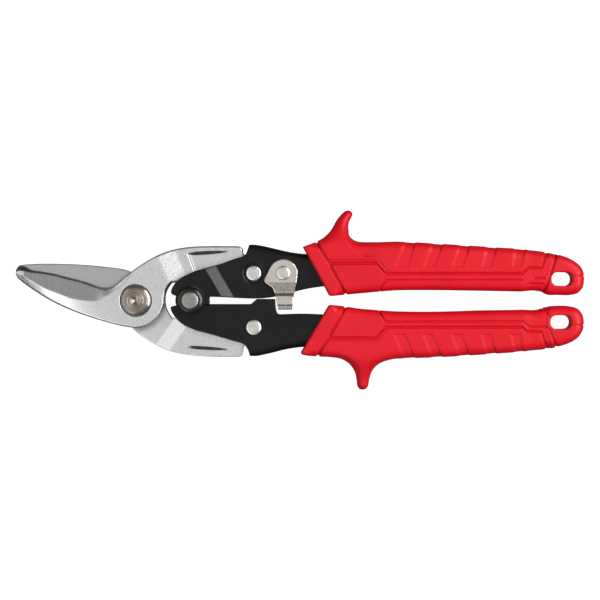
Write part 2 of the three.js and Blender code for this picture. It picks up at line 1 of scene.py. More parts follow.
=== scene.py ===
# Looks of the aviation snips. Millimetres on the design frame (origin on the jaw pivot)
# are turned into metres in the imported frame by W().
import math
import bpy
import numpy as np
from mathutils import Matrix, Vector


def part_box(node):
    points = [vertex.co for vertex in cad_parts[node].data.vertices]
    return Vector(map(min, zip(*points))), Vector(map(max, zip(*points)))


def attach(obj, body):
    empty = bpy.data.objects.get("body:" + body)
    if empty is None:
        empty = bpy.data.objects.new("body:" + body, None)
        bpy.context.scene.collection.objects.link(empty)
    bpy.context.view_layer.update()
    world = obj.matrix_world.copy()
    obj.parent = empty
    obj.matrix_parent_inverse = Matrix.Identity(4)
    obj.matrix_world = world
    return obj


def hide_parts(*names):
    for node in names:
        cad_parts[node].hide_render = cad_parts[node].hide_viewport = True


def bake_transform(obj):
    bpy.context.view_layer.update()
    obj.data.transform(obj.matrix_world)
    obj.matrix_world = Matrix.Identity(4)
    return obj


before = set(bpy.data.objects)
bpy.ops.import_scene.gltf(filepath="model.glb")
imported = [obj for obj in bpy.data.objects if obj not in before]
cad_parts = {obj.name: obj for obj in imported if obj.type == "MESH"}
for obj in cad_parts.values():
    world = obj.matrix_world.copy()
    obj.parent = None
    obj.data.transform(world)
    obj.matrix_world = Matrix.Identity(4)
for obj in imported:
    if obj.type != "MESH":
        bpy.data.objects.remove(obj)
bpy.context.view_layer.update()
import openvdb
from mathutils import Vector

# ---------------------------------------------------------------- shared frame
_lo, _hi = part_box("jaw_pivot_bolt")
AX, AY = (_lo[0] + _hi[0]) / 2 * 1000, (_lo[1] + _hi[1]) / 2 * 1000
_lo, _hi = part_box("handle_pivot_sleeve")
AZ = (_lo[2] + _hi[2]) / 2 * 1000
A = (0.0, 0.0)


def centre(node):
    lo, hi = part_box(node)
    return ((lo[0] + hi[0]) / 2 * 1000 - AX, (lo[1] + hi[1]) / 2 * 1000 - AY)


B = centre("handle_pivot_rivet")
C = centre("upper_tang_rivet")
D = centre("lower_tang_rivet")
L = centre("latch_rivet")


def W(p):
    p = np.asarray(p, dtype=np.float64)
    return (p + np.array([AX, AY, AZ])) / 1000.0


# ------------------------------------------------------------------ 2-D tools
def spline(pts, step=0.8, closed=True):
    """Smooth curve through the points; a third entry marks a sharp corner."""
    P = np.array([(p[0], p[1]) for p in pts], dtype=float)
    sharp = [len(p) > 2 for p in pts]
    n = len(P)
    out = []
    for i in range(n if closed else n - 1):
        j = (i + 1) % n
        a, b = P[i], P[j]
        ch = np.linalg.norm(b - a)
        if ch < 1e-9:
            continue

        def tangent(k, prev, nxt):
            d0, d1 = P[k] - P[prev], P[nxt] - P[k]
            l0, l1 = np.linalg.norm(d0), np.linalg.norm(d1)
            t = d0 / l0 * l1 + d1 / l1 * l0
            return t / (l0 + l1)

        ti = (b - a) / ch if sharp[i] or (not closed and i == 0) else tangent(i, (i - 1) % n, j)
        tj = (b - a) / ch if sharp[j] or (not closed and j == n - 1) else tangent(j, i, (j + 1) % n)
        m = max(1, int(round(ch / step)))
        if sharp[i] and sharp[j]:
            m = 1
        for k in range(m):
            t = k / m
            h00, h10 = 2 * t**3 - 3 * t**2 + 1, t**3 - 2 * t**2 + t
            h01, h11 = -2 * t**3 + 3 * t**2, t**3 - t**2
            out.append(h00 * a + h10 * ch * ti + h01 * b + h11 * ch * tj)
    if not closed:
        out.append(P[-1])
    return np.array(out)


def psdf(x, y, poly):
    """Signed distance to a closed polygon, negative inside."""
    x, y = np.broadcast_arrays(np.asarray(x, dtype=np.float32), np.asarray(y, dtype=np.float32))
    d2 = np.full(x.shape, 1e12, dtype=np.float32)
    inside = np.zeros(x.shape, dtype=bool)
    n = len(poly)
    for i in range(n):
        x0, y0 = poly[i]
        x1, y1 = poly[(i + 1) % n]
        ex, ey = x1 - x0, y1 - y0
        q = ex * ex + ey * ey
        if q < 1e-12:
            continue
        px, py = x - x0, y - y0
        t = np.clip((px * ex + py * ey) / q, 0, 1)
        dx, dy = px - t * ex, py - t * ey
        np.minimum(d2, dx * dx + dy * dy, out=d2)
        if y0 != y1:
            cross = ((y0 > y) != (y1 > y)) & (x < ex * (y - y0) / (y1 - y0) + x0)
            inside ^= cross
    d = np.sqrt(d2)
    return np.where(inside, -d, d)


def ldist(x, y, line):
    """Distance to an open polyline."""
    x, y = np.broadcast_arrays(np.asarray(x, dtype=np.float32), np.asarray(y, dtype=np.float32))
    d2 = np.full(x.shape, 1e12, dtype=np.float32)
    for (x0, y0), (x1, y1) in zip(line[:-1], line[1:]):
        ex, ey = x1 - x0, y1 - y0
        t = np.clip(((x - x0) * ex + (y - y0) * ey) / max(ex * ex + ey * ey, 1e-12), 0, 1)
        dx, dy = x - x0 - t * ex, y - y0 - t * ey
        np.minimum(d2, dx * dx + dy * dy, out=d2)
    return np.sqrt(d2)


def ss(v, a, b):
    t = np.clip((v - a) / (b - a), 0, 1)
    return t * t * (3 - 2 * t)


def ramp(v, a, b):
    return np.clip((v - a) / (b - a), 0, 1)


def smax(a, b, k):
    h = np.maximum(k - np.abs(a - b), 0) / k
    return np.maximum(a, b) + h * h * k * 0.25


def smin(a, b, k):
    return -smax(-a, -b, k)


def table(x, t):
    return np.interp(x, [p[0] for p in t], [p[1] for p in t])


def rad(x, y, c):
    return np.hypot(x - c[0], y - c[1])


# ------------------------------------------------------------- mesh from field
def to_object(name, verts, faces):
    me = bpy.data.meshes.new(name)
    verts = np.asarray(verts, dtype=np.float32)
    faces = np.asarray(faces, dtype=np.int32)
    k = faces.shape[1]
    me.vertices.add(len(verts))
    me.vertices.foreach_set("co", verts.ravel())
    me.loops.add(faces.size)
    me.loops.foreach_set("vertex_index", faces.ravel())
    me.polygons.add(len(faces))
    me.polygons.foreach_set("loop_start", np.arange(0, faces.size, k, dtype=np.int32))
    me.polygons.foreach_set("loop_total", np.full(len(faces), k, dtype=np.int32))
    me.update(calc_edges=True)
    me.validate()
    me.polygons.foreach_set("use_smooth", np.ones(len(faces), dtype=bool))
    ob = bpy.data.objects.new(name, me)
    bpy.context.scene.collection.objects.link(ob)
    return ob


def sculpt(name, field, lo, hi, vox, keep=1.0, masks=None):
    """One closed skin on field = 0 inside the box lo..hi (mm), its points moved onto the surface."""
    lo = np.array(lo, dtype=float) - 2.5 * vox
    n = np.ceil((np.array(hi, dtype=float) + 2.5 * vox - lo) / vox).astype(int) + 1
    x = (lo[0] + vox * np.arange(n[0])).astype(np.float32)[:, None, None]
    y = (lo[1] + vox * np.arange(n[1])).astype(np.float32)[None, :, None]
    z = (lo[2] + vox * np.arange(n[2])).astype(np.float32)[None, None, :]
    F = np.clip(np.broadcast_to(field(x, y, z), n), -3 * vox, 3 * vox).astype(np.float32)
    g = openvdb.FloatGrid(3 * vox)
    g.copyFromArray(np.ascontiguousarray(F))
    P, Q = g.convertToQuads(0.0)
    P = lo + np.asarray(P, dtype=np.float64) * vox
    Q = np.asarray(Q)
    qa, qb, qc, qd = (P[Q[:, i]] - P.mean(0) for i in range(4))
    if float((qa * np.cross(qb, qc)).sum() + (qa * np.cross(qc, qd)).sum()) < 0:
        Q = Q[:, ::-1]
    e = 0.03
    for _ in range(2):
        px, py, pz = P[:, 0], P[:, 1], P[:, 2]
        f0 = field(px, py, pz)
        gx = (field(px + e, py, pz) - field(px - e, py, pz)) / (2 * e)
        gy = (field(px, py + e, pz) - field(px, py - e, pz)) / (2 * e)
        gz = (field(px, py, pz + e) - field(px, py, pz - e)) / (2 * e)
        q = np.maximum(gx * gx + gy * gy + gz * gz, 0.05)
        step = np.stack([gx, gy, gz], 1) * (f0 / q)[:, None]
        ln = np.linalg.norm(step, axis=1, keepdims=True)
        P = P - step * np.minimum(1.0, 0.45 * vox / np.maximum(ln, 1e-9))
    ob = to_object(name, W(P), Q)
    if keep < 1.0:
        mod = ob.modifiers.new("thin", "DECIMATE")
        mod.ratio = keep
        bake_modifiers(ob)
    if masks:
        co = np.empty(len(ob.data.vertices) * 3, dtype=np.float32)
        ob.data.vertices.foreach_get("co", co)
        co = co.reshape(-1, 3) * 1000.0 - np.array([AX, AY, AZ])
        for key, fn in masks.items():
            att = ob.data.attributes.new(key, "FLOAT", "POINT")
            val = np.broadcast_to(fn(co[:, 0], co[:, 1], co[:, 2]), len(co)).astype(np.float32)
            att.data.foreach_set("value", np.ascontiguousarray(np.clip(val, 0, 1)))
    return ob


def bake_modifiers(ob):
    dg = bpy.context.evaluated_depsgraph_get()
    me = bpy.data.meshes.new_from_object(ob.evaluated_get(dg), preserve_all_data_layers=True, depsgraph=dg)
    old = ob.data
    ob.modifiers.clear()
    ob.data = me
    bpy.data.meshes.remove(old)
    me.name = ob.name
    me.polygons.foreach_set("use_smooth", np.ones(len(me.polygons), dtype=bool))


def turned(name, c, profile, n=96, closed=False):
    """Solid of revolution about Z through c; profile is (radius, z) in mm, from axis to axis or a closed ring."""
    prof = [(float(r), float(z)) for r, z in profile]
    verts, faces = [], []
    rings = []
    for r, z in prof:
        if r < 1e-9:
            rings.append([len(verts)])
            verts.append((c[0], c[1], z))
        else:
            ring = []
            for k in range(n):
                a = 2 * math.pi * k / n
                ring.append(len(verts))
                verts.append((c[0] + r * math.cos(a), c[1] + r * math.sin(a), z))
            rings.append(ring)
    pairs = list(zip(rings[:-1], rings[1:]))
    if closed:
        pairs.append((rings[-1], rings[0]))
    for ra, rb in pairs:
        for k in range(n):
            k2 = (k + 1) % n
            if len(ra) == 1 and len(rb) == 1:
                continue
            if len(ra) == 1:
                faces.append((ra[0], rb[k2], rb[k]))
            elif len(rb) == 1:
                faces.append((ra[k], ra[k2], rb[0]))
            else:
                faces.append((ra[k], ra[k2], rb[k2], rb[k]))
    me = bpy.data.meshes.new(name)
    me.from_pydata([tuple(v) for v in W(verts)], [], faces)
    me.update()
    import bmesh
    bm = bmesh.new()
    bm.from_mesh(me)
    bmesh.ops.recalc_face_normals(bm, faces=bm.faces)
    bm.to_mesh(me)
    bm.free()
    me.polygons.foreach_set("use_smooth", np.ones(len(me.polygons), dtype=bool))
    ob = bpy.data.objects.new(name, me)
    bpy.context.scene.collection.objects.link(ob)
    return ob


def softened(profile, r=0.25, n=3, closed=False):
    """Rounds the corners of a turned profile, leaving points on the axis alone."""
    out = []
    m = len(profile)
    for i, p in enumerate(profile):
        if (not closed and i in (0, m - 1)) or (p[0] < 1e-6):
            out.append(p)
            continue
        a, b = np.array(profile[(i - 1) % m], float), np.array(profile[(i + 1) % m], float)
        q = np.array(p, float)
        da, db = a - q, b - q
        la, lb = np.linalg.norm(da), np.linalg.norm(db)
        k = min(r, la * 0.45, lb * 0.45)
        p0, p1 = q + da / la * k, q + db / lb * k
        for j in range(n + 1):
            t = j / n
            out.append(tuple((1 - t) ** 2 * p0 + 2 * t * (1 - t) * q + t * t * p1))
    return out


# ------------------------------------------------------------------ materials
def _tree(name):
    m = bpy.data.materials.new(name)
    m.use_nodes = True
    nt = m.node_tree
    return m, nt, nt.nodes["Principled BSDF"]


def _noise(nt, scale, detail, stretch=(1, 1, 1), rough=0.55):
    tc = nt.nodes.new("ShaderNodeTexCoord")
    mp = nt.nodes.new("ShaderNodeMapping")
    mp.inputs["Scale"].default_value = stretch
    nz = nt.nodes.new("ShaderNodeTexNoise")
    nz.inputs["Scale"].default_value = scale
    nz.inputs["Detail"].default_value = detail
    nz.inputs["Roughness"].default_value = rough
    nt.links.new(tc.outputs["Object"], mp.inputs["Vector"])
    nt.links.new(mp.outputs["Vector"], nz.inputs["Vector"])
    return nz.outputs["Fac"]


def _map(nt, fac, a, b, lo=0.3, hi=0.7):
    mr = nt.nodes.new("ShaderNodeMapRange")
    mr.inputs["From Min"].default_value = lo
    mr.inputs["From Max"].default_value = hi
    mr.inputs["To Min"].default_value = a
    mr.inputs["To Max"].default_value = b
    nt.links.new(fac, mr.inputs["Value"])
    return mr.outputs["Result"]


def _mixc(nt, fac, a, b):
    mx = nt.nodes.new("ShaderNodeMix")
    mx.data_type = "RGBA"
    mx.inputs["A"].default_value = (*a, 1)
    mx.inputs["B"].default_value = (*b, 1)
    nt.links.new(fac, mx.inputs["Factor"])
    return mx.outputs["Result"]


def _bump(nt, bsdf, parts):
    prev = None
    for h, strength, dist in parts:
        bp = nt.nodes.new("ShaderNodeBump")
        bp.inputs["Strength"].default_value = strength
        bp.inputs["Distance"].default_value = dist
        nt.links.new(h, bp.inputs["Height"])
        if prev is not None:
            nt.links.new(prev, bp.inputs["Normal"])
        prev = bp.outputs["Normal"]
    nt.links.new(prev, bsdf.inputs["Normal"])


def _attr(nt, key):
    at = nt.nodes.new("ShaderNodeAttribute")
    at.attribute_name = key
    return at.outputs["Fac"]


def coated(name, lo_c, hi_c, r0, r1, scale, bump, grain, grain_bump, metallic=0.0, spec=0.5, coat=0.0):
    m, nt, b = _tree(name)
    big = _noise(nt, scale, 4)
    fine = _noise(nt, grain, 3)
    nt.links.new(_mixc(nt, _map(nt, big, 0, 1), lo_c, hi_c), b.inputs["Base Color"])
    nt.links.new(_map(nt, fine, r0, r1), b.inputs["Roughness"])
    b.inputs["Metallic"].default_value = metallic
    b.inputs["Specular IOR Level"].default_value = spec
    if coat:
        b.inputs["Coat Weight"].default_value = coat
        b.inputs["Coat Roughness"].default_value = 0.3
    _bump(nt, b, [(big, bump, 0.0004), (fine, grain_bump, 0.00008)])
    return m


def turned_material(name, base, rough, aniso):
    """Lathe-turned steel: the fine concentric tool marks stretch each highlight across them."""
    m, nt, b = _tree(name)
    big = _noise(nt, 150, 3)
    nt.links.new(_mixc(nt, _map(nt, big, 0, 1), tuple(0.92 * c for c in base), tuple(1.06 * c for c in base)), b.inputs["Base Color"])
    nt.links.new(_map(nt, big, rough * 0.92, rough * 1.08), b.inputs["Roughness"])
    b.inputs["Metallic"].default_value = 1.0
    b.inputs["Anisotropic"].default_value = aniso
    b.inputs["Anisotropic Rotation"].default_value = 0.25
    tg = nt.nodes.new("ShaderNodeTangent")
    tg.direction_type = "RADIAL"
    tg.axis = "Z"
    nt.links.new(tg.outputs["Tangent"], b.inputs["Tangent"])
    _bump(nt, b, [(big, 0.03, 0.0002)])
    return m


def blade_material():
    """Forged and blasted steel; ground flats carry fine cross lines where the mask says so."""
    m, nt, b = _tree("blade_steel")
    big = _noise(nt, 60, 4)
    fine = _noise(nt, 1700, 3, rough=0.65)
    lines = _noise(nt, 1500, 2, (1.0, 0.05, 0.05))
    ground = _attr(nt, "ground")
    base = _mixc(nt, _map(nt, fine, 0, 1, 0.35, 0.65), BLADE_LO, BLADE_HI)
    mx = nt.nodes.new("ShaderNodeMix")
    mx.data_type = "RGBA"
    mx.inputs["B"].default_value = (*GROUND_C, 1)
    nt.links.new(ground, mx.inputs["Factor"])
    nt.links.new(base, mx.inputs["A"])
    # darker steel where the "scale" attribute is set: forging scale in the grooves, plus painted shade on the tip
    # facet and a painted contact shadow ring round the pivot
    dk = nt.nodes.new("ShaderNodeMix")
    dk.data_type = "RGBA"
    dk.inputs["B"].default_value = (0.15, 0.15, 0.165, 1)
    nt.links.new(_attr(nt, "scale"), dk.inputs["Factor"])
    nt.links.new(mx.outputs["Result"], dk.inputs["A"])
    nt.links.new(dk.outputs["Result"], b.inputs["Base Color"])
    b.inputs["Metallic"].default_value = 1.0
    rg = nt.nodes.new("ShaderNodeMix")
    rg.data_type = "FLOAT"
    nt.links.new(ground, rg.inputs["Factor"])
    nt.links.new(_map(nt, fine, 0.29, 0.42), rg.inputs["A"])
    nt.links.new(_map(nt, lines, 0.24, 0.36), rg.inputs["B"])
    nt.links.new(rg.outputs["Result"], b.inputs["Roughness"])
    hm = nt.nodes.new("ShaderNodeMix")
    hm.data_type = "FLOAT"
    nt.links.new(ground, hm.inputs["Factor"])
    nt.links.new(fine, hm.inputs["A"])
    nt.links.new(_map(nt, lines, 0.46, 0.54, 0.35, 0.65), hm.inputs["B"])
    _bump(nt, b, [(big, 0.12, 0.0003), (hm.outputs["Result"], 0.55, 0.00006)])
    return m


BLADE_LO, BLADE_HI, GROUND_C = (0.55, 0.55, 0.558), (0.71, 0.71, 0.718), (0.44, 0.44, 0.448)

MAT = {
    "blade_steel": blade_material(),
    "frame_black": coated("frame_black", (0.0025, 0.0026, 0.0030), (0.0055, 0.0057, 0.0062), 0.20, 0.32, 90, 0.08, 2600, 0.25, spec=0.22),
    "grip_red": coated("grip_red", (0.57, 0.002, 0.010), (0.62, 0.004, 0.014), 0.38, 0.50, 45, 0.06, 3200, 0.22, spec=0.27),
    "bolt_steel": turned_material("bolt_steel", (0.285, 0.245, 0.215), 0.30, 0.8),
    "nut_steel": coated("nut_steel", (0.31, 0.275, 0.245), (0.38, 0.335, 0.30), 0.20, 0.30, 200, 0.05, 2400, 0.1, metallic=1.0),
    "rivet_steel": coated("rivet_steel", (0.61, 0.585, 0.55), (0.70, 0.675, 0.64), 0.28, 0.42, 500, 0.2, 2500, 0.2, metallic=1.0),
    "pivot_rivet_steel": coated("pivot_rivet_steel", (0.27, 0.255, 0.235), (0.34, 0.325, 0.30), 0.36, 0.50, 500, 0.2, 2500, 0.25, metallic=1.0),
    "latch_nickel": coated("latch_nickel", (0.57, 0.525, 0.475), (0.65, 0.60, 0.55), 0.20, 0.29, 250, 0.08, 2600, 0.2, metallic=1.0),
    "spring_steel": coated("spring_steel", (0.45, 0.45, 0.46), (0.58, 0.58, 0.59), 0.25, 0.4, 400, 0.1, 2500, 0.2, metallic=1.0),
    "washer_black": coated("washer_black", (0.005, 0.005, 0.0055), (0.009, 0.009, 0.0095), 0.22, 0.34, 300, 0.08, 2600, 0.2, metallic=0.0, spec=0.4),
}


def dress(ob, key, body, *nodes, slot_name=None):
    ob.data.materials.clear()
    ob.data.materials.append(MAT[key])
    if nodes:
        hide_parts(*nodes)
    if body:
        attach(ob, body)
    return ob


# --------------------------------------------------------------------- blades
EDGE_Y = [(-53.8, 13.0), (-53.4, 14.1), (-52.4, 15.2), (-50.2, 15.3), (-46.8, 13.75), (-42.1, 12.95), (-37.2, 12.1), (-31.3, 10.6), (-24.5, 8.9), (-19.9, 7.4), (-16.7, 6.3), (-14.5, 5.8), (-12.2, 6.0), (-10, 7.05), (-7.6, 8.85), (-4.6, 11.25), (-1.6, 13.2)]
FACET_Y = [(-53.8, 12.7), (-53.1, 13.0), (-46.8, 12.5), (-37.2, 11.2), (-31.3, 9.6), (-24.5, 8.0), (-19.9, 6.4), (-15.4, 5.1), (-13.1, 4.8), (-10.4, 5.8), (-7.6, 7.8), (-4.8, 10.2), (-1.6, 12.9)]
RIDGE_Y = [(-53.8, 12.3), (-53.2, 12.3), (-47.5, 9.2), (-41.3, 5.8), (-33.6, 2.8), (-29, 1.1), (-21.7, -0.1), (-18.3, -0.3), (-13.1, 1.9), (-9.4, 4.2), (-4.9, 7.8), (-2.3, 11.2), (-1.6, 12.4)]
SPINE_Y = [(-53.8, 11.7), (-53.4, 10.5), (-52.2, 9.3), (-48.4, 6.4), (-43.3, 3.0), (-38.6, 0.2), (-33, -2.6), (-27, -5.1), (-20.5, -7.4), (-12.9, -9.7), (-7.3, -11.2), (-1.6, -12.45)]
FACET_Z = [(-53.8, 1.1), (-50, 1.9), (-42, 2.0), (-24, 2.3), (-16, 3.2), (-12, 3.7), (-7, 4.2), (-1.6, 4.75)]
RIDGE_Z = [(-53.8, 1.2), (-50, 2.45), (-42, 3.5), (-30, 4.3), (-20, 4.7), (-14, 4.8), (0, 4.8)]
SPINE_Z = [(-53.8, 0.6), (-50, 1.1), (-42, 2.2), (-30, 3.2), (-20, 4.0), (-8, 4.8), (0, 4.8)]
R_SPINE_Y = [(-53.8, 13.6), (-53.4, 14.3), (-52.4, 15.7), (-50.2, 16.0), (-45.5, 16.3), (-32.5, 16.3), (-20.5, 15.7), (-12.9, 14.9), (-5.1, 13.75), (-1.6, 12.5)]
R_EDGE_Y = [(-53.8, 12.9), (-50, 12.1), (-45.5, 11.2), (-37, 9.6), (-31, 8.1), (-24.5, 6.4), (-19.9, 5.0), (-15.4, 3.0), (-13.1, 0.6), (-10.4, -5.6), (-7.6, -9.2), (-4.8, -11.1), (-1.6, -12.0)]
R_RIDGE_Y = [(-53.8, 13.5), (-50, 14.0), (-45.5, 14.1), (-37, 13.4), (-31, 12.4), (-24.5, 10.9), (-19.9, 9.2), (-15.4, 6.4), (-13.1, 3.4), (-10.4, -3.6), (-7.6, -7.8), (-4.8, -9.9), (-1.6, -10.9)]
RAMP_TOP, RAMP_BOTTOM = (16.3, 25.4), (18.2, 25.4)
TOP_DIR, BOTTOM_DIR = (0.917, 0.40), (0.82, 0.57)
BLADE_T, TANG = 4.8, 2.6


def arc(c, r, n, a0, a1):
    return [(c[0] + r * math.cos(math.radians(a0 + (a1 - a0) * i / n)), c[1] + r * math.sin(math.radians(a0 + (a1 - a0) * i / n))) for i in range(n + 1)]


def finer(t, step=0.7):
    """The table's curve, resampled smoothly."""
    return [tuple(p) for p in spline(t, step, closed=False)]


UP = (C[0], 12.05)
_hidden = arc(UP, 6.9, 30, 112, -104) + [(46.2, 6.4), (37.3, 8.3), (30, 9.3)] + arc(B, 11.2, 24, 136, 187) + arc(A, 12.25, 40, -20, -97)
FRONT_OUT = (
    [(-53.75, 12.4), (-53.8, 12.95)] + finer(EDGE_Y[1:], 0.6)
    + finer([(-1.6, 13.2), (2.5, 16.0), (7.2, 18.85), (12.1, 21.15), (17.9, 22.95), (23.7, 23.85), (34, 24.25), (44.5, 24.2)], 0.8)[1:]
    + finer([(44.5, 24.2), (46, 24.1), (47.1, 23.55), (47.6, 22.7), (47.7, 21.5), (48.4, 20)], 0.4)[1:]
    + _hidden + finer([(-7.3, -11.2), (-12.9, -9.7), (-20.5, -7.4), (-27, -5.1), (-33, -2.6), (-38.6, 0.2), (-43.3, 3.0), (-48.4, 6.4), (-52.2, 9.3), (-53.4, 10.5), (-53.75, 11.9)], 0.8)
)
REAR_OUT = (
    finer([(2.7, 16.2), (5.85, 18.15), (12.5, 21.6), (16.6, 23), (21.5, 24), (28.6, 24.8), (36, 25.1), (44.2, 25.1)], 0.8)
    + finer([(44.2, 25.1), (46.2, 25.0), (47.4, 24.4), (47.75, 23.3), (47.8, 21.5), (48.4, 20)], 0.4)[1:]
    + _hidden
    + finer([(-1.6, -12.6), (-5.1, -13.75), (-12.9, -14.9), (-20.5, -15.7), (-32.5, -16.3), (-45.5, -16.3), (-50.2, -16.0), (-52.4, -15.7), (-53.4, -14.5), (-53.8, -13.4)], 0.8)
    + finer([(-53.8, -12.9), (-50, -12.1), (-45.5, -11.2), (-37, -9.6), (-31, -8.1), (-24.5, -6.4), (-19.9, -5.0), (-15.4, -3.0), (-13.1, -0.6), (-10.4, 5.6), (-7.6, 9.2), (-4.8, 11.1), (-1.6, 12.6)], 0.7)
)
T_EDGE, T_FACET, T_RIDGE, T_SPINE = finer(EDGE_Y), finer(FACET_Y), finer(RIDGE_Y), finer(SPINE_Y)
T_RS, T_RE, T_RR = finer(R_SPINE_Y), finer(R_EDGE_Y), finer(R_RIDGE_Y)


def jaw_top(x, y, edge, facet, ridge, spine, foot):
    """Height of the outer face of a jaw: spine, ridge, foot of the edge facet, edge."""
    ye, yf, yr, ys = table(x, edge), table(x, facet), table(x, ridge), table(x, spine)
    zf, zr, zs = table(x, FACET_Z), table(x, RIDGE_Z), table(x, SPINE_Z)
    sg = np.sign(yr - ys + 1e-6)
    ye, yf, yr, ys, v = ye * sg, yf * sg, yr * sg, ys * sg, y * sg
    t1 = ramp(v, ys, np.maximum(yr, ys + 0.3))
    t2 = ramp(v, yr, np.maximum(yf, yr + 0.25))
    t3 = ramp(v, np.maximum(yf, yr + 0.25), np.maximum(ye, yf + 0.3) + 0.02)
    return zs + (zr - zs) * t1 + (zf - zr) * t2 + (foot - zf) * t3


POCKET = [(22.75, 20.6), (25.35, 13.3), (26.6, 10.0), (45.5, 10.0), (45.5, 22.4), (41.5, 22.5), (24.3, 21.9)]


def soft_ramp(s, a, b):
    """Straight slope from 0 to 1 with its two corners eased."""
    t = (s - a) / (b - a)
    return smin(smax(t, 0.0 * t, 0.10), 1.0 + 0.0 * t, 0.10)


def tang_faces(x, y, depth):
    top = BLADE_T + (TANG - BLADE_T) * soft_ramp(x * TOP_DIR[0] + y * TOP_DIR[1], *RAMP_TOP)
    bot = 0.05 - (TANG + 0.05) * soft_ramp(x * BOTTOM_DIR[0] + y * BOTTOM_DIR[1], *RAMP_BOTTOM)
    # pressed panel: two steps at the left border, floor rising to the right
    bx, by = 22.75 + (20.6 - y) * 0.356, 20.6
    u = x - bx
    inside = ramp(u, 0, 0.45) * 0.35 + ramp(u, 1.15, 1.6) * 0.35
    fade = 1 - ramp(x, 27, 44.0)
    up = 1 - ramp(y, 20.9 + (x - 24) * 0.06, 21.3 + (x - 24) * 0.06)
    cut = depth * inside * fade * up
    # lens-shaped groove along the outer side
    t = ramp(x, 23.1, 40.9)
    yc = 20.75 + 0.062 * (x - 23.3)
    hw = 0.95 * np.sqrt(np.maximum(t * (1 - t), 0)) * 2 * (1 - 0.45 * t) + 1e-3
    g = 1 - ramp(np.abs(y - yc) / hw, 0.1, 1.0)
    cut = cut + 1.7 * g * (x > 23.1) * (x < 40.9)
    return top - cut, bot + cut


def blade_body(x, y, z, out, jaw_t, hole_r, bore, depth, recess, edge_side):
    d2 = psdf(x, y, out)
    tt, bb = tang_faces(x, y, depth)
    top = np.where(x < -1.6, jaw_t(x, y), tt)
    keen = (x < -1.6) & edge_side(x, y)
    c = np.where(keen, 0.0, 0.55) + 0.5 * (1 - ramp(np.abs(rad(x, y, B) - 11.2), 0.8, 2.0)) * (x < 16)
    t = (z - top) * 0.97
    f = smax(smax(d2, t, 0.2), np.where(keen, -9.0, (d2 + t + c) * 0.7071), 0.15)
    f = smax(f, bb - z, 0.22)
    f = smax(f, bore - rad(x, y, A), 0.3)
    f = smax(f, hole_r - rad(x, y, UP), 0.3)
    if recess:
        f = smax(f, -smax(rad(x, y, A) - 7.15, 3.2 - z, 0.2), 0.2)
    return f


def front_blade(x, y, z):
    return blade_body(x, y, z, FRONT_OUT, lambda a, b: jaw_top(a, b, T_EDGE, T_FACET, T_RIDGE, T_SPINE, 0.32), 2.75, 4.25, 0.5, True, lambda a, b: b > table(a, T_RIDGE) - 0.5)


def _rear_jaw(x, y):
    # in the turned-over frame the jaw lies at negative y
    neg = lambda t: [(p[0], -p[1]) for p in t]
    ye, yr, ys = table(x, neg(T_RE)), table(x, neg(T_RR)), table(x, neg(T_RS))
    zr, zs = table(x, RIDGE_Z), table(x, SPINE_Z)
    t1 = ramp(-y, -np.maximum(ys + 0.3, yr), -ys)
    t2 = ramp(y, yr, np.maximum(ye - 0.9, yr + 0.3))
    t3 = ramp(y, np.maximum(ye - 0.9, yr + 0.3), np.maximum(ye, yr + 1.2))
    zf = table(x, FACET_Z)
    return zr + (zs - zr) * t1 + (zf - zr) * t2 + (0.32 - zf) * t3


def rear_blade(x, y, z):
    return blade_body(x, -y, -z, REAR_OUT, _rear_jaw, 3.2, 4.3, 0.3, False, lambda a, b: b > -table(a, T_RR))


def front_ground(x, y, z):
    return ramp(y - table(x, T_RIDGE), -0.12, 0.12) * (x < -1.7) * (z > 0.12)


def scale_and_painted_shade(x, y, z):
    """Dark forging scale left in the lens-shaped grooves; painted shade on the tip facet, and a painted contact shadow
    on the rear blade round the pivot, just outside the front blade's boss.
    """
    t = ramp(x, 23.1, 40.9)
    yc = 20.75 + 0.062 * (x - 23.3)
    hw = 0.95 * np.sqrt(np.maximum(t * (1 - t), 0)) * 2 * (1 - 0.45 * t) + 1e-3
    off = np.abs(np.abs(y) - yc + 0.18 * np.sign(y)) / hw
    groove = (1 - ss(off, 0.25, 0.8)) * ((x > 23.1) & (x < 40.9))
    # painted shade: darker colour on the tip facet near the point, standing in for shade
    tip_facet_shade = 0.85 * (1 - ramp(x, -48.2, -46.0)) * ramp(y - table(x, T_FACET), 0.0, 0.25) * (z > 0.15)
    # painted contact shadow: dark ring round the pivot where the front blade's boss lies over the rear blade
    pivot_contact_shade = 0.62 * (1 - ss(rad(x, y, A), 12.5, 15.2)) * ramp(x, -3.0, 2.0) * (y < 0) * (z < 0.3) * (z > -2.75)
    return np.maximum(groove, np.maximum(tip_facet_shade, pivot_contact_shade * (rad(x, y, A) > 12.0)))


def rear_ground(x, y, z):
    face = ramp(z, -0.25, -0.12)      # the flat shear face is ground all over the jaw
    return np.where(x < 4, face * (1 - ramp(x, -2, 3)), 0)


